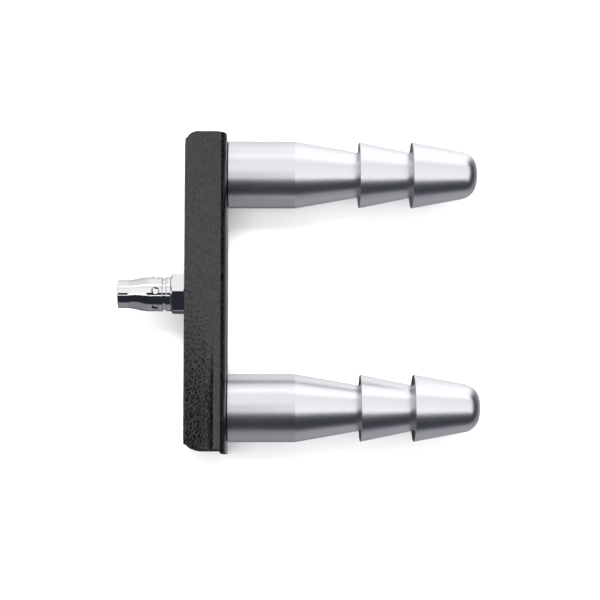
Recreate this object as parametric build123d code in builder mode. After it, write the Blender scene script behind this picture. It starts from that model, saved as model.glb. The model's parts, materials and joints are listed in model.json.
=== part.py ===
"""Twin barbed-plug adapter with a quick-connect coupler.

A folded steel channel carries two barbed aluminium plugs on its web (+X side) and a
sleeve-locked quick-connect coupler on its back plate (-X side).  The part lies flat:
X runs along the plugs and the coupler, Y along the channel, +Z is up.  The origin is
where the coupler's axis meets the web's outer face.  Millimetres.
"""
import os
from math import cos, radians, sin, tan

from build123d import *

# Channel bracket: folded sheet, web at x = 0, legs reaching back to x = -LEG_REACH
SHEET = 2.0
CHANNEL_DEPTH = 36.0
LEG_REACH = 15.35
LEG_LENGTH = 117.5
WEB_OVERHANG = 1.05
BEND_RADIUS = 4.5
LEG_CORNER_RADIUS = 4.9
EDGE_BREAK = 0.45
INNER_DEPTH = CHANNEL_DEPTH - 2 * SHEET

# Back plate: closes the channel, flush with the free edges of the legs
BACK_PLATE = 2.5
BACK_PLATE_LENGTH = 113.0
ACCESS_HOLE_RADIUS = 8.0
BACK_PLATE_FRONT = -LEG_REACH + BACK_PLATE

# Stitch welds in the corner between the back plate and the legs
WELD_LEG = 1.4
WELD_LENGTH = 12.0
WELD_SPACING = 38.0
WELD_COUNT = 3

# Barbed plugs, turned from bar
PLUG_Y = {"upper": 45.6, "lower": -42.8}
PLUG_RADIUS = 12.7
PLUG_LENGTH = 94.55
CYLINDER_LENGTH = 25.4
BARB_1_AT = 49.8
BARB_2_AT = 69.75
BARB_1_RADIUS = 12.55
BARB_2_RADIUS = 12.6
NECK_1_RADIUS = 8.45
NECK_2_RADIUS = 8.46
NOSE_RADIUS = 8.0
NOSE_FILLET = 6.5
PLUG_BASE_CHAMFER = 0.5
BARB_EDGE = 0.2
TAPPED_RADIUS = 4.02
TAPPED_DEPTH = 20.0
DRILL_POINT = 2.3

# Plug screws: M8 socket heads with split lock washers, inside the channel
SCREW_RADIUS = 4.0
SCREW_LENGTH = 20.0
SCREW_HOLE_RADIUS = 4.3
HEAD_RADIUS = 6.5
HEAD_HEIGHT = 8.0
HEAD_CHAMFER = 0.6
SOCKET_FLATS = 6.0
SOCKET_DEPTH = 4.0
WASHER_RADIUS = 7.4
WASHER_BORE = 4.15
WASHER_THICKNESS = 2.0
WASHER_GAP = 1.4

# Spanner flats: corners turned off at this angle to the end faces
NUT_CHAMFER_ANGLE = 30.0

# Coupler, measured outwards from the back plate: see out()
HEX_FLATS = 14.0
HEX_LENGTH = 5.6
HEX_FACE_RADIUS = 6.65
HEX_CHAMFER = 0.85
HEX_TURN = 87.0
HEX_EDGE = 0.9
SHANK_RADIUS = 5.0
SHANK_HOLE_RADIUS = 5.08
SHANK_END = -9.3
SHANK_CHAMFER = 0.6
PASSAGE_RADIUS = 2.0
SPIGOT_RADIUS = 4.3
SPIGOT_END = 11.0
CHAMBER_RADIUS = 3.6
CHAMBER_START = 2.0

FLAT_WASHER_RADIUS = 9.5
FLAT_WASHER = 1.0
JAM_NUT_FLATS = 16.0
JAM_NUT = 5.0
JAM_NUT_FACE_RADIUS = 7.6
JAM_NUT_CHAMFER = 0.9
JAM_NUT_BORE = 5.03

COLLAR_RADIUS = 6.45
COLLAR_START = 5.65
COLLAR_END = 7.6
COLLAR_LINE_AT = 7.0
COLLAR_LINE = 0.15
NECK_RADIUS = 5.87
NECK_END = 9.0
GUIDE_RADIUS = 5.0
GUIDE_END = 12.5
TUBE_RADIUS = 4.3
TUBE_END = 25.1
THREAD_BORE = 4.33
THREAD_BORE_END = 11.3
SEAT_RADIUS = 2.4
SEAT_END = 12.9
SOCKET_RADIUS = 3.2
LEAD_IN_START = 20.0
LEAD_IN_RADIUS = 3.5
MOUTH_CHAMFER = 0.3

# Sleeve that locks and frees the coupler; it draws back 0.95 towards the collar
SLEEVE_START = 8.65
SLEEVE_END = 25.6
SLEEVE_RADIUS = 6.45
SLEEVE_TIP_RADIUS = 5.32
FLARE_START = 13.3
FLARE_END = 21.9
FLARE_REAR_PULL = 0.48
FLARE_TIP_PULL = 0.31
SKIRT_BORE = 5.93
SKIRT_END = 10.25
GUIDE_BORE = 5.06
LAND_START = 17.2
LAND_BORE = 4.35
RAMP_START = 18.65
RAMP_END = 19.85
RELIEF_BORE = 4.92
RELIEF_END = 21.3
STOP_FACE = 23.8
MOUTH_BORE = 4.75
SLEEVE_EDGE = 0.25
SLEEVE_TIP_EDGE = 0.4
DIMPLE_AT = 11.25
DIMPLE_RADIUS = 1.5
DIMPLE_DEPTH = 0.55
DIMPLE_COUNT = 6
DIMPLE_TURN = 84.0

# Locking balls in radial holes of the coupler's tube
BALL_COUNT = 4
BALL_RADIUS = 0.8
BALL_AT = 19.0
BALL_LOCKED = 3.53
BALL_HOLE_RADIUS = 0.85
BALL_LIP_RADIUS = 0.77
BALL_LIP_HEIGHT = 0.15

# Snap ring that stops the sleeve, socket seal, and the spring-loaded valve
SNAP_RING_START = 23.85
SNAP_RING_WIDTH = 0.6
SNAP_RING_BORE = 3.95
SNAP_RING_RADIUS = 4.68
SNAP_RING_GAP = 1.5
SEAL_AT = 15.7
SEAL_GROOVE_WIDTH = 1.0
SEAL_GROOVE_RADIUS = 3.9
SEAL_SECTION = 0.37
POPPET_HEAD_START = 9.8
POPPET_HEAD_END = 10.85
POPPET_HEAD_RADIUS = 3.25
POPPET_NOSE_RADIUS = 1.9
POPPET_NOSE_END = 14.9
POPPET_NOSE_FILLET = 0.6
POPPET_STEM_RADIUS = 1.4
POPPET_STEM_START = 6.0
VALVE_SEAL = 0.4
VALVE_SEAL_RADIUS = 3.0

# Springs: wire radius, mean coil radius, first and last coil centres, turns
SLEEVE_SPRING = {"wire": 0.29, "coil": 4.68, "start": 12.85, "end": 16.85, "turns": 4}
VALVE_SPRING = {"wire": 0.22, "coil": 2.6, "start": 2.35, "end": 9.5, "turns": 8}


def out(distance):
    """X of a point that lies this far outwards from the back plate's outer face."""
    return -LEG_REACH - distance


def turned_flats(start, end, face_radius, depth):
    """Corner points of the blank that turns the corners off a hexagon, from start to end along X."""
    corner = face_radius + depth / tan(radians(NUT_CHAMFER_ANGLE))
    step = depth if end > start else -depth
    return [
        (start, 0),
        (start, face_radius),
        (start + step, corner),
        (end - step, corner),
        (end, face_radius),
        (end, 0),
    ]


def coil_spring(spring):
    """A round-wire coil around the X axis, from its first coil centre outwards."""
    height = spring["end"] - spring["start"]
    pitch = height / spring["turns"]
    foot = (out(spring["start"]), 0, 0)
    with BuildPart() as coil:
        with BuildLine():
            wire_path = Helix(pitch, height, spring["coil"], center=foot, direction=(-1, 0, 0))
        with BuildSketch(Plane(origin=wire_path @ 0, z_dir=wire_path % 0)):
            Circle(spring["wire"])
        sweep(path=wire_path)
    return coil


# ---------------------------------------------------------------- channel bracket
with BuildPart() as channel_bracket:
    with BuildSketch(Plane.XZ):
        Rectangle(LEG_REACH, CHANNEL_DEPTH, align=(Align.MAX, Align.CENTER))
        fillet(vertices().group_by(Axis.X)[-1], BEND_RADIUS)
        with Locations((-SHEET, 0)):
            Rectangle(LEG_REACH - SHEET, INNER_DEPTH, align=(Align.MAX, Align.CENTER), mode=Mode.SUBTRACT)
        fillet(vertices().filter_by_position(Axis.X, -SHEET - 0.01, -SHEET + 0.01), BEND_RADIUS - SHEET)
    extrude(amount=LEG_LENGTH / 2 + WEB_OVERHANG, both=True)
    # the legs are level with the web at +Y and stop short of it at -Y
    with BuildSketch(Plane.XY.offset(-CHANNEL_DEPTH / 2)):
        with Locations((0, LEG_LENGTH / 2)):
            Rectangle(LEG_REACH, WEB_OVERHANG, align=(Align.MAX, Align.MIN))
        with Locations((-SHEET, -LEG_LENGTH / 2)):
            Rectangle(LEG_REACH, WEB_OVERHANG, align=(Align.MAX, Align.MAX))
    extrude(amount=CHANNEL_DEPTH, mode=Mode.SUBTRACT)
    leg_corners = edges().filter_by(Axis.Z).group_by(Axis.X)[0]
    fillet(leg_corners, LEG_CORNER_RADIUS)
    rims = edges().filter_by(lambda e: abs(abs(e.center().Z) - CHANNEL_DEPTH / 2) < 0.01)
    rims = rims.filter_by(lambda e: e.center().X < -BEND_RADIUS - 0.1)
    fillet(rims, EDGE_BREAK)
    with BuildSketch(Plane.YZ):
        with Locations([(y, 0) for y in PLUG_Y.values()]):
            Circle(SCREW_HOLE_RADIUS)
    extrude(amount=-SHEET, mode=Mode.SUBTRACT)

# --------------------------------------------------------------------- back plate
with BuildPart() as back_plate:
    with BuildSketch(Plane.YZ.offset(-LEG_REACH)):
        Rectangle(BACK_PLATE_LENGTH, INNER_DEPTH)
        with Locations([(y, 0) for y in PLUG_Y.values()]):
            Circle(ACCESS_HOLE_RADIUS, mode=Mode.SUBTRACT)
        Circle(SHANK_HOLE_RADIUS, mode=Mode.SUBTRACT)
    extrude(amount=BACK_PLATE)

# ------------------------------------------------------------------- stitch welds
with BuildPart() as stitch_welds:
    for side in (-1, 1):
        corner = (BACK_PLATE_FRONT, side * INNER_DEPTH / 2)
        for number in range(WELD_COUNT):
            middle = (number - (WELD_COUNT - 1) / 2) * WELD_SPACING
            with BuildSketch(Plane.XZ.offset(-middle)):
                with BuildLine():
                    Polyline(
                        corner,
                        (corner[0] + WELD_LEG, corner[1]),
                        (corner[0], corner[1] - side * WELD_LEG),
                        close=True,
                    )
                make_face()
            extrude(amount=WELD_LENGTH / 2, both=True)

# ------------------------------------------------------------------- barbed plugs
plugs = {}
for side, y in PLUG_Y.items():
    with BuildPart() as plug:
        with BuildSketch(Plane.XY.move(Location((0, y, 0)))):
            with BuildLine():
                Polyline(
                    (0, TAPPED_RADIUS),
                    (0, PLUG_RADIUS - PLUG_BASE_CHAMFER),
                    (PLUG_BASE_CHAMFER, PLUG_RADIUS),
                    (CYLINDER_LENGTH, PLUG_RADIUS),
                    (BARB_1_AT, NECK_1_RADIUS),
                    (BARB_1_AT, BARB_1_RADIUS),
                    (BARB_2_AT, NECK_2_RADIUS),
                    (BARB_2_AT, BARB_2_RADIUS),
                    (PLUG_LENGTH, NOSE_RADIUS),
                    (PLUG_LENGTH, 0),
                    (TAPPED_DEPTH + DRILL_POINT, 0),
                    (TAPPED_DEPTH, TAPPED_RADIUS),
                    close=True,
                )
            make_face()
            outer = vertices().group_by(Axis.X)[-1].sort_by(Axis.Y)[-1]
            fillet(outer, NOSE_FILLET)
            barb_tips = vertices().filter_by(
                lambda v: v.Y > BARB_1_RADIUS - 0.01 and v.X > CYLINDER_LENGTH + 1
            )
            fillet(barb_tips, BARB_EDGE)
        revolve(axis=Axis((0, y, 0), (1, 0, 0)))
    plugs[side] = plug

# ---------------------------------------------------- plug screws and lock washers
plug_screws = {}
lock_washers = {}
for side, y in PLUG_Y.items():
    head_face = -SHEET - WASHER_THICKNESS
    with BuildPart() as screw:
        with BuildSketch(Plane.YZ.offset(head_face)):
            with Locations((y, 0)):
                Circle(HEAD_RADIUS)
        extrude(amount=-HEAD_HEIGHT)
        chamfer(edges().group_by(Axis.X)[0], HEAD_CHAMFER)
        with BuildSketch(Plane.YZ.offset(head_face)):
            with Locations((y, 0)):
                Circle(SCREW_RADIUS)
        extrude(amount=SCREW_LENGTH)
        with BuildSketch(Plane.YZ.offset(head_face - HEAD_HEIGHT)):
            with Locations((y, 0)):
                RegularPolygon(SOCKET_FLATS / 2, 6, major_radius=False)
        extrude(amount=SOCKET_DEPTH, mode=Mode.SUBTRACT)
    plug_screws[side] = screw

    with BuildPart() as washer:
        with BuildSketch(Plane.YZ.offset(-SHEET)):
            with Locations((y, 0)):
                Circle(WASHER_RADIUS)
                Circle(WASHER_BORE, mode=Mode.SUBTRACT)
            with Locations((y, WASHER_RADIUS / 2)):
                Rectangle(WASHER_GAP, WASHER_RADIUS + 1, mode=Mode.SUBTRACT)
        extrude(amount=-WASHER_THICKNESS)
    lock_washers[side] = washer

# ------------------------------------------------- coupler adapter, washer and nut
with BuildPart() as coupler_adapter:
    with BuildSketch(Plane.YZ.offset(out(0))):
        RegularPolygon(HEX_FLATS / 2, 6, major_radius=False, rotation=HEX_TURN)
        fillet(vertices(), HEX_EDGE)
    extrude(amount=-HEX_LENGTH)
    with BuildSketch():
        with BuildLine():
            Polyline(*turned_flats(out(0), out(HEX_LENGTH), HEX_FACE_RADIUS, HEX_CHAMFER), close=True)
        make_face()
    revolve(axis=Axis.X, mode=Mode.INTERSECT)
    with BuildSketch():
        with BuildLine():
            Polyline(
                (out(SHANK_END), 0),
                (out(SHANK_END), SHANK_RADIUS - SHANK_CHAMFER),
                (out(SHANK_END + SHANK_CHAMFER), SHANK_RADIUS),
                (out(HEX_LENGTH / 2), SHANK_RADIUS),
                (out(HEX_LENGTH / 2), SPIGOT_RADIUS),
                (out(SPIGOT_END), SPIGOT_RADIUS),
                (out(SPIGOT_END), 0),
                close=True,
            )
        make_face()
    revolve(axis=Axis.X)
    with BuildSketch():
        with BuildLine():
            Polyline(
                (out(SHANK_END), 0),
                (out(SHANK_END), PASSAGE_RADIUS),
                (out(CHAMBER_START), PASSAGE_RADIUS),
                (out(CHAMBER_START), CHAMBER_RADIUS),
                (out(SPIGOT_END), CHAMBER_RADIUS),
                (out(SPIGOT_END), 0),
                close=True,
            )
        make_face()
    revolve(axis=Axis.X, mode=Mode.SUBTRACT)

with BuildPart() as coupler_washer:
    with BuildSketch(Plane.YZ.offset(BACK_PLATE_FRONT)):
        Circle(FLAT_WASHER_RADIUS)
        Circle(SHANK_HOLE_RADIUS, mode=Mode.SUBTRACT)
    extrude(amount=FLAT_WASHER)

with BuildPart() as coupler_jam_nut:
    nut_back = BACK_PLATE_FRONT + FLAT_WASHER
    nut_front = nut_back + JAM_NUT
    with BuildSketch(Plane.YZ.offset(nut_back)):
        RegularPolygon(JAM_NUT_FLATS / 2, 6, major_radius=False)
        Circle(JAM_NUT_BORE, mode=Mode.SUBTRACT)
    extrude(amount=JAM_NUT)
    with BuildSketch():
        with BuildLine():
            Polyline(*turned_flats(nut_back, nut_front, JAM_NUT_FACE_RADIUS, JAM_NUT_CHAMFER), close=True)
        make_face()
    revolve(axis=Axis.X, mode=Mode.INTERSECT)

# ------------------------------------------------------------------- coupler body
ball_angles = [360 * i / BALL_COUNT for i in range(BALL_COUNT)]

with BuildPart() as coupler_body:
    seal_start = SEAL_AT - SEAL_GROOVE_WIDTH / 2
    seal_end = SEAL_AT + SEAL_GROOVE_WIDTH / 2
    with BuildSketch():
        with BuildLine():
            Polyline(
                (out(COLLAR_START), THREAD_BORE),
                (out(COLLAR_START), COLLAR_RADIUS - COLLAR_LINE),
                (out(COLLAR_START + COLLAR_LINE), COLLAR_RADIUS),
                (out(COLLAR_LINE_AT - COLLAR_LINE), COLLAR_RADIUS),
                (out(COLLAR_LINE_AT), COLLAR_RADIUS - COLLAR_LINE),
                (out(COLLAR_LINE_AT + COLLAR_LINE), COLLAR_RADIUS),
                (out(COLLAR_END - COLLAR_LINE), COLLAR_RADIUS),
                (out(COLLAR_END), COLLAR_RADIUS - COLLAR_LINE),
                (out(COLLAR_END), NECK_RADIUS),
                (out(NECK_END), NECK_RADIUS),
                (out(NECK_END), GUIDE_RADIUS),
                (out(GUIDE_END), GUIDE_RADIUS),
                (out(GUIDE_END), TUBE_RADIUS),
                (out(SNAP_RING_START), TUBE_RADIUS),
                (out(SNAP_RING_START), SNAP_RING_BORE),
                (out(SNAP_RING_START + SNAP_RING_WIDTH), SNAP_RING_BORE),
                (out(SNAP_RING_START + SNAP_RING_WIDTH), TUBE_RADIUS),
                (out(TUBE_END), TUBE_RADIUS),
                (out(TUBE_END), LEAD_IN_RADIUS + MOUTH_CHAMFER),
                (out(TUBE_END - MOUTH_CHAMFER), LEAD_IN_RADIUS),
                (out(LEAD_IN_START), LEAD_IN_RADIUS),
                (out(LEAD_IN_START), SOCKET_RADIUS),
                (out(seal_end), SOCKET_RADIUS),
                (out(seal_end), SEAL_GROOVE_RADIUS),
                (out(seal_start), SEAL_GROOVE_RADIUS),
                (out(seal_start), SOCKET_RADIUS),
                (out(SEAT_END), SOCKET_RADIUS),
                (out(SEAT_END), SEAT_RADIUS),
                (out(THREAD_BORE_END), SEAT_RADIUS),
                (out(THREAD_BORE_END), THREAD_BORE),
                close=True,
            )
        make_face()
    revolve(axis=Axis.X)
    upright = (Align.CENTER, Align.CENTER, Align.MIN)
    for angle in ball_angles:
        radial = (0, cos(radians(angle)), sin(radians(angle)))
        with Locations(Plane(origin=(out(BALL_AT), 0, 0), x_dir=(1, 0, 0), z_dir=radial)):
            Cylinder(BALL_LIP_RADIUS, SOCKET_RADIUS, align=upright, mode=Mode.SUBTRACT)
            with Locations((0, 0, SOCKET_RADIUS)):
                Cone(BALL_LIP_RADIUS, BALL_HOLE_RADIUS, BALL_LIP_HEIGHT, align=upright, mode=Mode.SUBTRACT)
            with Locations((0, 0, SOCKET_RADIUS + BALL_LIP_HEIGHT)):
                Cylinder(BALL_HOLE_RADIUS, TUBE_RADIUS, align=upright, mode=Mode.SUBTRACT)

# ------------------------------------------------------------------ coupler sleeve
with BuildPart() as coupler_sleeve:
    flare = FLARE_END - FLARE_START
    with BuildSketch():
        with BuildLine():
            Bezier(
                (out(FLARE_START), SLEEVE_RADIUS),
                (out(FLARE_START + FLARE_REAR_PULL * flare), SLEEVE_RADIUS),
                (out(FLARE_END - FLARE_TIP_PULL * flare), SLEEVE_TIP_RADIUS),
                (out(FLARE_END), SLEEVE_TIP_RADIUS),
            )
            Polyline(
                (out(FLARE_END), SLEEVE_TIP_RADIUS),
                (out(SLEEVE_END), SLEEVE_TIP_RADIUS),
                (out(SLEEVE_END), MOUTH_BORE),
                (out(STOP_FACE), MOUTH_BORE),
                (out(STOP_FACE), LAND_BORE),
                (out(RELIEF_END), LAND_BORE),
                (out(RELIEF_END), RELIEF_BORE),
                (out(RAMP_END), RELIEF_BORE),
                (out(RAMP_START), LAND_BORE),
                (out(LAND_START), LAND_BORE),
                (out(LAND_START), GUIDE_BORE),
                (out(SKIRT_END), GUIDE_BORE),
                (out(SKIRT_END), SKIRT_BORE),
                (out(SLEEVE_START), SKIRT_BORE),
                (out(SLEEVE_START), SLEEVE_RADIUS),
                (out(FLARE_START), SLEEVE_RADIUS),
            )
        make_face()
        tip = vertices().group_by(Axis.X)[0].sort_by(Axis.Y)[-1]
        fillet(tip, SLEEVE_TIP_EDGE)
        rear = vertices().group_by(Axis.X)[-1].sort_by(Axis.Y)[-1]
        fillet(rear, SLEEVE_EDGE)
    revolve(axis=Axis.X)
    dimple_ball = (DIMPLE_RADIUS**2 + DIMPLE_DEPTH**2) / (2 * DIMPLE_DEPTH)
    with Locations(Plane.YZ.offset(out(DIMPLE_AT))):
        with PolarLocations(SLEEVE_RADIUS - DIMPLE_DEPTH + dimple_ball, DIMPLE_COUNT, DIMPLE_TURN):
            Sphere(dimple_ball, mode=Mode.SUBTRACT)

# ------------------------------------------------------- snap ring, balls and seal
with BuildPart() as snap_ring:
    with BuildSketch(Plane.YZ.offset(out(SNAP_RING_START))):
        Circle(SNAP_RING_RADIUS)
        Circle(SNAP_RING_BORE, mode=Mode.SUBTRACT)
        with Locations((0, -SNAP_RING_RADIUS)):
            Rectangle(SNAP_RING_GAP, SNAP_RING_RADIUS, mode=Mode.SUBTRACT)
    extrude(amount=-SNAP_RING_WIDTH)

locking_balls = []
for angle in ball_angles:
    centre = (out(BALL_AT), BALL_LOCKED * cos(radians(angle)), BALL_LOCKED * sin(radians(angle)))
    with BuildPart() as ball:
        with Locations(centre):
            Sphere(BALL_RADIUS)
    locking_balls.append(ball)

with BuildPart() as socket_seal:
    with BuildSketch():
        with Locations((out(SEAL_AT), SEAL_GROOVE_RADIUS - SEAL_SECTION)):
            Circle(SEAL_SECTION)
    revolve(axis=Axis.X)

# --------------------------------------------------------------------- valve parts
with BuildPart() as valve_poppet:
    with BuildSketch():
        with BuildLine():
            Polyline(
                (out(POPPET_STEM_START), 0),
                (out(POPPET_STEM_START), POPPET_STEM_RADIUS),
                (out(POPPET_HEAD_START), POPPET_STEM_RADIUS),
                (out(POPPET_HEAD_START), POPPET_HEAD_RADIUS),
                (out(POPPET_HEAD_END), POPPET_HEAD_RADIUS),
                (out(POPPET_HEAD_END), POPPET_NOSE_RADIUS),
                (out(POPPET_NOSE_END), POPPET_NOSE_RADIUS),
                (out(POPPET_NOSE_END), 0),
                close=True,
            )
        make_face()
        nose = vertices().group_by(Axis.X)[0].sort_by(Axis.Y)[-1]
        fillet(nose, POPPET_NOSE_FILLET)
    revolve(axis=Axis.X)

with BuildPart() as valve_seal:
    with BuildSketch(Plane.YZ.offset(out(POPPET_HEAD_END))):
        Circle(VALVE_SEAL_RADIUS)
        Circle(POPPET_NOSE_RADIUS, mode=Mode.SUBTRACT)
    extrude(amount=-VALVE_SEAL)

sleeve_spring = coil_spring(SLEEVE_SPRING)
valve_spring = coil_spring(VALVE_SPRING)

# ---------------------------------------------------------------------- hand-over
nodes = {
    "channel_bracket": channel_bracket,
    "back_plate": back_plate,
    "stitch_welds": stitch_welds,
    "coupler_adapter": coupler_adapter,
    "coupler_washer": coupler_washer,
    "coupler_jam_nut": coupler_jam_nut,
    "coupler_body": coupler_body,
    "coupler_sleeve": coupler_sleeve,
    "sleeve_spring": sleeve_spring,
    "snap_ring": snap_ring,
    "socket_seal": socket_seal,
    "valve_poppet": valve_poppet,
    "valve_seal": valve_seal,
    "valve_spring": valve_spring,
}
for side in PLUG_Y:
    nodes["plug_" + side] = plugs[side]
    nodes["plug_screw_" + side] = plug_screws[side]
    nodes["lock_washer_" + side] = lock_washers[side]
for number, ball in enumerate(locking_balls, start=1):
    nodes["locking_ball_%d" % number] = ball

os.makedirs("parts", exist_ok=True)
for name, piece in nodes.items():
    piece.part.label = name
    export_step(piece.part, "parts/" + name + ".step")
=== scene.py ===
"""Looks for the twin barbed-plug adapter: camera, studio, materials and fine pieces.

Everything is in metres, in the part's own frame: X along the plugs, Y along the channel, +Z up.
"""

import json
import math

import bmesh
import bpy
from mathutils import Matrix, Vector, noise


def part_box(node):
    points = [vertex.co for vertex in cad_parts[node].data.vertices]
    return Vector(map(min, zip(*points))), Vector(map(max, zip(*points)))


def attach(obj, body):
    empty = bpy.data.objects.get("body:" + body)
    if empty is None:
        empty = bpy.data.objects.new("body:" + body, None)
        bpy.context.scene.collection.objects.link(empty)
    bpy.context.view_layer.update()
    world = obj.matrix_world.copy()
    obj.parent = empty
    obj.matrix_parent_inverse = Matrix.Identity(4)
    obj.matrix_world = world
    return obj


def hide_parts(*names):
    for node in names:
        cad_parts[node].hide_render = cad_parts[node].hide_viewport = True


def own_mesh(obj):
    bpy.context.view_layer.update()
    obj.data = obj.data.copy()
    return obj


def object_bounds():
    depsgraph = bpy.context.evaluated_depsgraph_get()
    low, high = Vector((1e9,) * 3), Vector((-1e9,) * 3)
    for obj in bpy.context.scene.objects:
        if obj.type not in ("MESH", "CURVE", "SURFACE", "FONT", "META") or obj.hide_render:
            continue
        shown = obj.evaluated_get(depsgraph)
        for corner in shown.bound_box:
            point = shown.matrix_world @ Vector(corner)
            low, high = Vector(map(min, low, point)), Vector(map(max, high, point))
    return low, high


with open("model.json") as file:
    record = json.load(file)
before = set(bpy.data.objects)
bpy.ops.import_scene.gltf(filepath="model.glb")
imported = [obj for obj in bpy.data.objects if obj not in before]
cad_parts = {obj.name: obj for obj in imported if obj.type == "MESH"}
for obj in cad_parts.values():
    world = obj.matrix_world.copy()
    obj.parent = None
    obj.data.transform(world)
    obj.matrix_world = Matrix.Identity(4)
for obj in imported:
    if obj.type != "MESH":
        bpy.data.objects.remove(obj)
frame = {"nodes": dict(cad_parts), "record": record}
cad_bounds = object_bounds()
nodes = frame["nodes"]
scene = bpy.context.scene
scene.view_settings.view_transform = "Standard"

MM = 0.001
LOW, HIGH = 0, 1

# ------------------------------------------------------------------------- camera
CAMERA_LENS = 96.0
CAMERA_DISTANCE = 0.6023
CAMERA_AIM = Vector((0.027415, -0.002196, 0.00035))
CAMERA_TILT = math.radians(6.091)
CAMERA_YAW = math.radians(1.201)
CAMERA_ROLL = math.radians(-0.081)


def make_camera():
    """The camera looks almost straight down, from a little towards -Y."""
    data = bpy.data.cameras.new("camera")
    data.lens = CAMERA_LENS
    data.clip_end = 20.0
    camera = bpy.data.objects.new("camera", data)
    scene.collection.objects.link(camera)
    tilt = Matrix.Rotation(-CAMERA_TILT, 4, "X")
    yaw = Matrix.Rotation(CAMERA_YAW, 4, "Y")
    roll = Matrix.Rotation(CAMERA_ROLL, 4, "Z")
    turn = (roll @ yaw @ tilt).inverted()
    back_off = Matrix.Translation((0, 0, CAMERA_DISTANCE))
    camera.matrix_world = Matrix.Translation(CAMERA_AIM) @ turn @ back_off
    scene.camera = camera


# ------------------------------------------------------------------- node helpers
def add_node(tree, kind, settings=None, inputs=None):
    """A new node, with its properties and its unlinked sockets set."""
    node = tree.nodes.new(kind)
    for name, value in (settings or {}).items():
        setattr(node, name, value)
    for name, value in (inputs or {}).items():
        node.inputs[name].default_value = value
    return node


def math_node(tree, operation, first, second=None):
    """A Math node whose operands are sockets or plain numbers; returns its output."""
    node = add_node(tree, "ShaderNodeMath", {"operation": operation})
    for socket, value in zip(node.inputs, (first, second)):
        if isinstance(value, bpy.types.NodeSocket):
            tree.links.new(value, socket)
        elif value is not None:
            socket.default_value = value
    return node.outputs[0]


def spread(tree, value, low, high, start=0.0, end=1.0):
    """Maps value from start..end to low..high, with soft ends."""
    settings = {"interpolation_type": "SMOOTHSTEP"}
    inputs = {"From Min": start, "From Max": end, "To Min": low, "To Max": high}
    node = add_node(tree, "ShaderNodeMapRange", settings, inputs)
    tree.links.new(value, node.inputs["Value"])
    return node.outputs["Result"]


def two_tone(tree, value, dark, light):
    """A colour between dark and light, by value."""
    ramp = add_node(tree, "ShaderNodeValToRGB")
    for element, colour in zip(ramp.color_ramp.elements, (dark, light)):
        element.color = (*colour, 1.0)
    tree.links.new(value, ramp.inputs["Fac"])
    return ramp.outputs["Color"]


def noise_at(tree, place, scale, detail=2.0, roughness=0.5, distortion=0.0):
    """Noise of the given scale, in features per metre, on the object's own coordinates."""
    inputs = {"Scale": scale, "Detail": detail, "Roughness": roughness, "Distortion": distortion}
    node = add_node(tree, "ShaderNodeTexNoise", None, inputs)
    tree.links.new(place, node.inputs["Vector"])
    return node.outputs["Fac"]


def stretched(tree, place, scale, turn=(0.0, 0.0, 0.0)):
    """The coordinates turned and stretched, for grain that has a direction."""
    node = add_node(tree, "ShaderNodeMapping", None, {"Rotation": turn, "Scale": scale})
    tree.links.new(place, node.inputs["Vector"])
    return node.outputs["Vector"]


def bump(tree, height, distance):
    """A Bump node that stands distance metres proud."""
    node = add_node(tree, "ShaderNodeBump", None, {"Distance": distance})
    tree.links.new(height, node.inputs["Height"])
    return node.outputs["Normal"]


DIELECTRIC_IOR = 1.5


def begin(name, metallic=0.0, specular=0.5):
    """A fresh material: its node tree, its shader and the object's own coordinates."""
    material = bpy.data.materials.new(name)
    material.use_nodes = True
    tree = material.node_tree
    shader = tree.nodes["Principled BSDF"]
    shader.inputs["Metallic"].default_value = metallic
    shader.inputs["IOR"].default_value = DIELECTRIC_IOR
    shader.inputs["Specular IOR Level"].default_value = specular
    place = add_node(tree, "ShaderNodeTexCoord").outputs["Object"]
    return material, tree, shader, place


# ---------------------------------------------------------------------- materials
WRINKLE_SLANT = math.radians(30)
WRINKLE_STRETCH = 0.45
WRINKLES_PER_METRE = 1500.0
WRINKLE_HEIGHT = 0.00009
BEND_FROM, BEND_TO = -0.0080, -0.0050


def powder_coat():
    """Black wrinkle powder coat with painted shade in its wrinkle troughs; the relief is drawn
    smooth along the bends.
    """
    material, tree, shader, place = begin("black_powder_coat")
    axes = add_node(tree, "ShaderNodeSeparateXYZ")
    tree.links.new(place, axes.inputs["Vector"])
    turned = stretched(tree, place, (1.0, 1.0, 1.0), (0.0, 0.0, WRINKLE_SLANT))
    strokes = stretched(tree, turned, (1.0, WRINKLE_STRETCH, 1.0))
    wrinkle = noise_at(tree, strokes, WRINKLES_PER_METRE, 2.0, 0.5, 0.5)
    # Painted shade: the colour follows the wrinkle height, darker in the troughs and lighter on the
    # crests.
    painted_wrinkle_shade = spread(tree, wrinkle, 0.0, 1.0, 0.35, 0.65)
    colour = two_tone(tree, painted_wrinkle_shade, (0.001, 0.001, 0.0012), (0.010, 0.010, 0.012))
    tree.links.new(colour, shader.inputs["Base Color"])
    across = spread(tree, axes.outputs["X"], 1.0, 0.1, BEND_FROM, BEND_TO)
    height = math_node(tree, "MULTIPLY", wrinkle, across)
    tree.links.new(bump(tree, height, WRINKLE_HEIGHT), shader.inputs["Normal"])
    patches = noise_at(tree, place, 45.0)
    tree.links.new(spread(tree, patches, 0.06, 0.10), shader.inputs["Roughness"])
    return material


def satin_aluminium():
    """Bead-blasted clear-anodised aluminium."""
    material, tree, shader, place = begin("satin_aluminium", metallic=1.0)
    cloud = noise_at(tree, place, 60.0, 3.0)
    colour = two_tone(tree, cloud, (0.580, 0.586, 0.612), (0.600, 0.605, 0.626))
    tree.links.new(colour, shader.inputs["Base Color"])
    grain = noise_at(tree, place, 2600.0, 2.0, 0.6)
    tree.links.new(bump(tree, grain, 0.00002), shader.inputs["Normal"])
    tree.links.new(spread(tree, cloud, 0.29, 0.33), shader.inputs["Roughness"])
    return material


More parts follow.
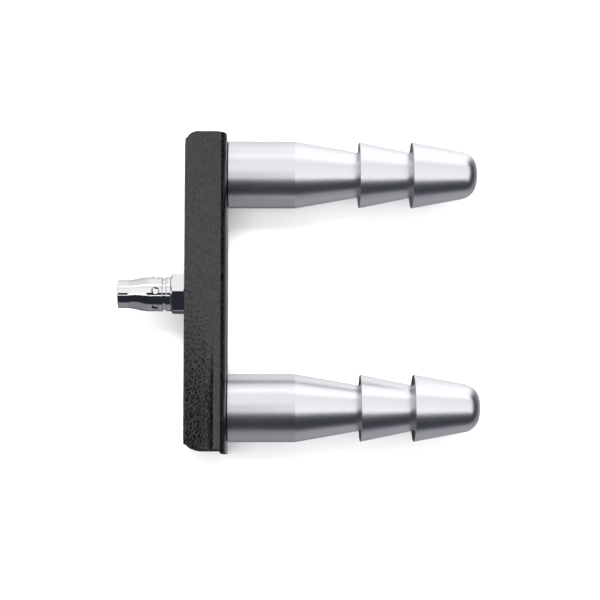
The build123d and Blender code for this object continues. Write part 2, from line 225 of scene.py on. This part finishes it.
def bright_chrome():
    """Polished chrome plate over turned brass, with the faint ripple that turning leaves."""
    material, tree, shader, place = begin("bright_chrome", metallic=1.0)
    cloud = noise_at(tree, place, 260.0, 3.0)
    colour = two_tone(tree, cloud, (0.60, 0.603, 0.62), (0.66, 0.66, 0.67))
    tree.links.new(colour, shader.inputs["Base Color"])
    ripple = noise_at(tree, stretched(tree, place, (2.2, 1.0, 1.0)), 420.0, 2.0)
    tree.links.new(bump(tree, ripple, 0.00001), shader.inputs["Normal"])
    tree.links.new(spread(tree, cloud, 0.05, 0.12), shader.inputs["Roughness"])
    return material


def turned_metal(name, dark, light, roughness, lines):
    """Plain metal with fine turning lines across X and a cloudy finish."""
    material, tree, shader, place = begin(name, metallic=1.0)
    cloud = noise_at(tree, place, 320.0, 4.0, 0.6)
    tree.links.new(two_tone(tree, cloud, dark, light), shader.inputs["Base Color"])
    grooves = noise_at(tree, stretched(tree, place, (14.0, 1.0, 1.0)), 500.0, 2.0)
    tree.links.new(bump(tree, grooves, lines), shader.inputs["Normal"])
    tree.links.new(spread(tree, cloud, *roughness), shader.inputs["Roughness"])
    return material


def black_rubber():
    """Matt nitrile rubber with a fine moulded skin."""
    material, tree, shader, place = begin("black_rubber", specular=0.4)
    cloud = noise_at(tree, place, 700.0, 3.0)
    colour = two_tone(tree, cloud, (0.016, 0.016, 0.017), (0.034, 0.034, 0.036))
    tree.links.new(colour, shader.inputs["Base Color"])
    tree.links.new(bump(tree, noise_at(tree, place, 3000.0), 0.00001), shader.inputs["Normal"])
    tree.links.new(spread(tree, cloud, 0.55, 0.75), shader.inputs["Roughness"])
    return material


def floor_sheet():
    """Matt white paper."""
    material, tree, shader, place = begin("white_paper", specular=0.2)
    tooth = noise_at(tree, place, 900.0, 3.0)
    colour = two_tone(tree, tooth, (0.90, 0.90, 0.905), (0.93, 0.93, 0.935))
    tree.links.new(colour, shader.inputs["Base Color"])
    tree.links.new(spread(tree, tooth, 0.85, 0.95), shader.inputs["Roughness"])
    return material


TURNED_METALS = (
    ("zinc_steel", (0.50, 0.51, 0.53), (0.68, 0.69, 0.71), (0.24, 0.38), 0.000004),
    ("spring_steel", (0.38, 0.38, 0.40), (0.56, 0.56, 0.58), (0.22, 0.34), 0.000004),
    ("ball_steel", (0.66, 0.67, 0.69), (0.76, 0.77, 0.79), (0.06, 0.12), 0.000001),
    ("brass", (0.70, 0.50, 0.22), (0.82, 0.62, 0.32), (0.18, 0.30), 0.000004),
)


def make_materials():
    """One material for each material slot of the record."""
    materials = {
        "black_powder_coat": powder_coat(),
        "satin_aluminium": satin_aluminium(),
        "bright_chrome": bright_chrome(),
    }
    for name, dark, light, roughness, lines in TURNED_METALS:
        materials[name] = turned_metal(name, dark, light, roughness, lines)
    materials["black_rubber"] = black_rubber()
    return materials


def dress_cad_nodes(materials):
    """Each CAD node gets the material of its own slot."""
    for row in frame["record"]["subparts"]:
        node = nodes[row["node"]]
        for material_slot in node.material_slots:
            material_slot.material = materials[row["material_slot"]]


# ------------------------------------------------------------------- mesh helpers
def new_piece(name, mesh, material, body, replaced):
    """Links a finished mesh as a piece that rides on a body and stands for a CAD node."""
    mesh.materials.append(material)
    for polygon in mesh.polygons:
        polygon.use_smooth = True
    piece = bpy.data.objects.new(name, mesh)
    scene.collection.objects.link(piece)
    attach(piece, body)
    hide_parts(replaced)
    return piece


def skin_rings(rings):
    """A closed mesh over a row of rings that all have the same number of points."""
    shell = bmesh.new()
    rows = [[shell.verts.new(point) for point in ring] for ring in rings]
    count = len(rows[0])
    for back, front in zip(rows, rows[1:]):
        for i in range(count):
            j = (i + 1) % count
            shell.faces.new((back[i], back[j], front[j], front[i]))
    shell.faces.new(reversed(rows[0]))
    shell.faces.new(rows[-1])
    bmesh.ops.recalc_face_normals(shell, faces=shell.faces)
    mesh = bpy.data.meshes.new("skin")
    shell.to_mesh(mesh)
    shell.free()
    return mesh


# ------------------------------------------------------------------- coil springs
SPRING_SIDES = 14
SPRING_STEPS_PER_TURN = 40
CLOSED_TURNS = 0.9
SLEEVE_TRAVEL = 0.00095
VALVE_TRAVEL = 0.0020


def closed_coil(low, high, turns, wire):
    """A compression spring along X in the box low..high, its end turns closed and ground flat."""
    coil = (high.y - low.y) / 2 - wire
    start, end = low.x + wire, high.x - wire
    centre = (low.y + high.y) / 2
    steps = round(turns * SPRING_STEPS_PER_TURN)
    rise_per_turn = 2 * wire * 1.02
    dead = CLOSED_TURNS * rise_per_turn
    live_turns = turns - 2 * CLOSED_TURNS
    rings = []
    for step in range(steps + 1):
        turn = turns * step / steps
        if turn < CLOSED_TURNS:
            x = start + rise_per_turn * turn
        elif turn > turns - CLOSED_TURNS:
            x = end - rise_per_turn * (turns - turn)
        else:
            share = (turn - CLOSED_TURNS) / live_turns
            x = start + dead + (end - start - 2 * dead) * share
        angle = math.tau * turn
        outward = Vector((0, math.cos(angle), math.sin(angle)))
        middle = Vector((x, centre, 0)) + coil * outward
        ring = []
        for side in range(SPRING_SIDES):
            around = math.tau * side / SPRING_SIDES
            along = math.sin(around) * Vector((1, 0, 0))
            point = middle + wire * (math.cos(around) * outward + along)
            point.x = min(max(point.x, low.x), high.x)
            ring.append(point)
        rings.append(ring)
    return skin_rings(rings)


def make_springs(materials):
    """The sleeve's spring and the valve's spring, each a closed coil riding on its own body."""
    springs = (
        ("sleeve_spring", "spring_carriage", 5.6, 0.29 * MM, "sleeve_slide", SLEEVE_TRAVEL),
        ("valve_spring", "valve", 9.5, 0.22 * MM, "valve_slide", VALVE_TRAVEL),
    )
    for node, body, turns, wire, joint, travel in springs:
        low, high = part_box(node)
        mesh = closed_coil(low, high, turns, wire)
        steel = materials["spring_steel"]
        piece = new_piece(node + "_coil", mesh, steel, body, node)
        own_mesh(piece)


# -------------------------------------------------------------------- weld beads
BEAD_STEPS = 72
BEAD_SIDES = 14
RIPPLE_LENGTH = 0.0011
RIPPLE_HEIGHT = 0.00010


def weld_bead(corner, side, start, end, leg):
    """A rippled fillet weld along Y, side +1 under the +Z leg and -1 over the -Z one."""
    rings = []
    for step in range(BEAD_STEPS + 1):
        share = step / BEAD_STEPS
        y = start + (end - start) * share
        taper = min(1.0, 5 * min(share, 1 - share)) ** 0.5
        size = leg * (0.35 + 0.65 * taper)
        phase = (y - start) / RIPPLE_LENGTH
        wobble = noise.noise(Vector((y * 400, corner.x * 900, side * 3.1)))
        ring = [Vector((corner.x, y, corner.z))]
        for point in range(BEAD_SIDES + 1):
            angle = math.pi / 2 * point / BEAD_SIDES
            crown = math.sin(2 * angle)
            ripple = RIPPLE_HEIGHT * crown * math.sin(math.tau * phase - 1.6 * crown)
            reach = size * (1 - 0.26 * crown + 0.04 * wobble) + ripple
            x = corner.x + reach * math.cos(angle)
            z = corner.z - side * reach * math.sin(angle)
            ring.append(Vector((x, y, z)))
        rings.append(ring)
    return rings


def make_welds(materials):
    """Six rippled beads where the CAD has plain wedges."""
    source = nodes["stitch_welds"]
    spans = {}
    for vertex in source.data.vertices:
        side = 1 if vertex.co.z > 0 else -1
        spans.setdefault(side, set()).add(round(vertex.co.y, 6))
    low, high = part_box("stitch_welds")
    leg = high.x - low.x
    for side, marks in spans.items():
        edges = sorted(marks)
        corner_z = high.z if side > 0 else low.z
        corner = Vector((low.x, 0, corner_z))
        for number, (start, end) in enumerate(zip(edges[::2], edges[1::2]), 1):
            name = "weld_bead_%s_%d" % ("top" if side > 0 else "under", number)
            mesh = skin_rings(weld_bead(corner, side, start, end, leg))
            coat = materials["black_powder_coat"]
            new_piece(name, mesh, coat, "adapter", "stitch_welds")


# ------------------------------------------------------------------ floor, lights
FLOOR_SIZE = 8.0
PANEL_HEIGHT = 0.70
PANEL_EDGE = -0.245
PANEL_TURN = math.radians(-12)
PANEL_WIDTH = 2.8
PANEL_MIDDLE_X = 0.05
PANEL_STRIPS = ((0.16, 2.00), (0.24, 1.42), (0.38, 1.36), (0.12, 1.0), (0.60, 1.45))
HOOD_RADIUS = 0.090
HOOD_SHIFT = (-0.092, 0.014, 0)
MATT_LAMPS = (
    ("key", (0.03, 0.50, 1.1), (0.6, 0.4), 19.0, (0.03, 0, 0)),
    ("fill", (0.03, -0.35, 1.2), (0.9, 0.6), 5.0, (0.03, 0, 0)),
    ("side", (-0.55, -0.20, 0.45), (0.5, 0.5), 1.5, (0, 0, 0)),
)


def make_floor():
    """A pale sheet at the height that the part lies on."""
    sheet = bmesh.new()
    bmesh.ops.create_grid(sheet, x_segments=8, y_segments=8, size=FLOOR_SIZE / 2)
    mesh = bpy.data.meshes.new("floor")
    sheet.to_mesh(mesh)
    sheet.free()
    mesh.materials.append(floor_sheet())
    floor = bpy.data.objects.new("floor", mesh)
    floor.location.z = cad_bounds[LOW][2]
    floor.visible_glossy = False
    scene.collection.objects.link(floor)


def area_light(name, centre, size, radiance, turn=0.0, aim=None, shiny=True):
    """A rectangular soft light of even radiance, facing down and turned about Z, or facing aim."""
    data = bpy.data.lights.new(name, "AREA")
    data.shape = "RECTANGLE"
    data.size, data.size_y = size
    data.energy = radiance * math.pi * size[0] * size[1]
    light = bpy.data.objects.new(name, data)
    light.location = centre
    light.rotation_euler.z = turn
    if aim is not None:
        light.rotation_euler = (Vector(aim) - Vector(centre)).to_track_quat("-Z", "Y").to_euler()
    light.visible_camera = False
    light.visible_glossy = shiny
    scene.collection.objects.link(light)


def make_lights():
    """A wide panel over the +Y side, mirrored in the metal, and soft lamps for the floor."""
    edge = 0.0
    for number, (depth, radiance) in enumerate(PANEL_STRIPS, 1):
        flat = Vector((PANEL_MIDDLE_X, edge + depth / 2, 0))
        turned = Matrix.Rotation(PANEL_TURN, 3, "Z") @ flat
        centre = turned + Vector((0, PANEL_EDGE, PANEL_HEIGHT))
        area_light("panel_%d" % number, centre, (PANEL_WIDTH, depth), radiance, turn=PANEL_TURN)
        edge += depth
    for name, centre, size, radiance, aim in MATT_LAMPS:
        area_light(name, centre, size, radiance, aim=aim, shiny=False)


def make_hood():
    """A dark disc beside the camera, which only the glossy surfaces see."""
    disc = bmesh.new()
    bmesh.ops.create_circle(disc, cap_ends=True, segments=48, radius=HOOD_RADIUS)
    mesh = bpy.data.meshes.new("camera_hood")
    disc.to_mesh(mesh)
    disc.free()
    material, tree, shader, place = begin("hood_black", specular=0.0)
    tone = noise_at(tree, place, 40.0)
    colour = two_tone(tree, tone, (0.003, 0.003, 0.004), (0.006, 0.006, 0.008))
    tree.links.new(colour, shader.inputs["Base Color"])
    mesh.materials.append(material)
    hood = bpy.data.objects.new("camera_hood", mesh)
    hood.matrix_world = Matrix.Translation(HOOD_SHIFT) @ scene.camera.matrix_world
    hood.visible_camera = False
    hood.visible_diffuse = False
    hood.visible_shadow = False
    scene.collection.objects.link(hood)


FRONT_SKY = (
    (0, (0.030, 0.034, 0.046)),
    (78, (0.032, 0.036, 0.046)),
    (88, (0.44, 0.44, 0.48)),
    (105, (0.42, 0.42, 0.45)),
    (125, (0.44, 0.44, 0.46)),
    (150, (0.34, 0.34, 0.36)),
    (165, (0.16, 0.16, 0.17)),
    (180, (0.03, 0.03, 0.03)),
)
BACK_SKY = (
    (0, (0.0, 0.0, 0.0)),
    (55, (0.0, 0.0, 0.0)),
    (60, (1.35, 1.35, 1.36)),
    (95, (1.50, 1.50, 1.50)),
    (120, (1.15, 1.15, 1.16)),
    (150, (0.95, 0.95, 0.96)),
    (165, (0.35, 0.35, 0.36)),
    (180, (0.03, 0.03, 0.03)),
)
SIDE_SHIFT = math.radians(24)
SIDE_LEAN = 1.2
SIDE_LIMIT = 0.2
SIDE_FADE = 0.65
BACKDROP = (0.93, 0.93, 0.935, 1.0)


def sky_colours(tree, angle, stops):
    """The colour at an angle from straight up, between the given (degrees, colour) stops."""
    ramp = add_node(tree, "ShaderNodeValToRGB")
    elements = ramp.color_ramp.elements
    while len(elements) < len(stops):
        elements.new(0.5)
    for element, (degrees, colour) in zip(elements, stops):
        element.position = degrees / 180
        element.color = (*colour, 1.0)
    tree.links.new(math_node(tree, "DIVIDE", angle, math.pi), ramp.inputs["Fac"])
    return ramp.outputs["Color"]


def make_world():
    """Dark walls over a pale ground, bright towards +Y; the camera itself sees a pale backdrop."""
    world = bpy.data.worlds.new("studio")
    world.use_nodes = True
    tree = world.node_tree
    background = tree.nodes["Background"]
    axes = add_node(tree, "ShaderNodeSeparateXYZ")
    tree.links.new(add_node(tree, "ShaderNodeTexCoord").outputs["Generated"], axes.inputs["Vector"])
    x, y, z = axes.outputs
    upright = math_node(tree, "MULTIPLY", z, z)
    level = math_node(tree, "SQRT", math_node(tree, "SUBTRACT", 1.0, upright))
    angle = math_node(tree, "ARCCOSINE", z)
    sideways = math_node(tree, "DIVIDE", x, level)
    shifted = math_node(tree, "SUBTRACT", angle, math_node(tree, "MULTIPLY", sideways, SIDE_SHIFT))
    backwards = spread(tree, math_node(tree, "DIVIDE", y, level), 0.0, 1.0, 0.60, 0.85)
    mix = add_node(tree, "ShaderNodeMixRGB")
    tree.links.new(backwards, mix.inputs["Fac"])
    tree.links.new(sky_colours(tree, shifted, FRONT_SKY), mix.inputs["Color1"])
    tree.links.new(sky_colours(tree, angle, BACK_SKY), mix.inputs["Color2"])
    tree.links.new(mix.outputs["Color"], background.inputs["Color"])
    side = math_node(tree, "MINIMUM", math_node(tree, "MAXIMUM", x, -SIDE_LIMIT), SIDE_LIMIT)
    lean = math_node(tree, "ADD", math_node(tree, "MULTIPLY", side, SIDE_LEAN), 1.0)
    fade = spread(tree, x, 1.0, SIDE_FADE, 0.45, 0.90)
    tree.links.new(math_node(tree, "MULTIPLY", lean, fade), background.inputs["Strength"])
    seen = add_node(tree, "ShaderNodeLightPath").outputs["Is Camera Ray"]
    backdrop = add_node(tree, "ShaderNodeBackground", None, {"Color": BACKDROP})
    choice = add_node(tree, "ShaderNodeMixShader")
    tree.links.new(seen, choice.inputs["Fac"])
    tree.links.new(background.outputs["Background"], choice.inputs[1])
    tree.links.new(backdrop.outputs["Background"], choice.inputs[2])
    tree.links.new(choice.outputs["Shader"], tree.nodes["World Output"].inputs["Surface"])
    scene.world = world


make_camera()
materials = make_materials()
dress_cad_nodes(materials)
make_springs(materials)
make_welds(materials)
make_floor()
make_lights()
make_hood()
make_world()
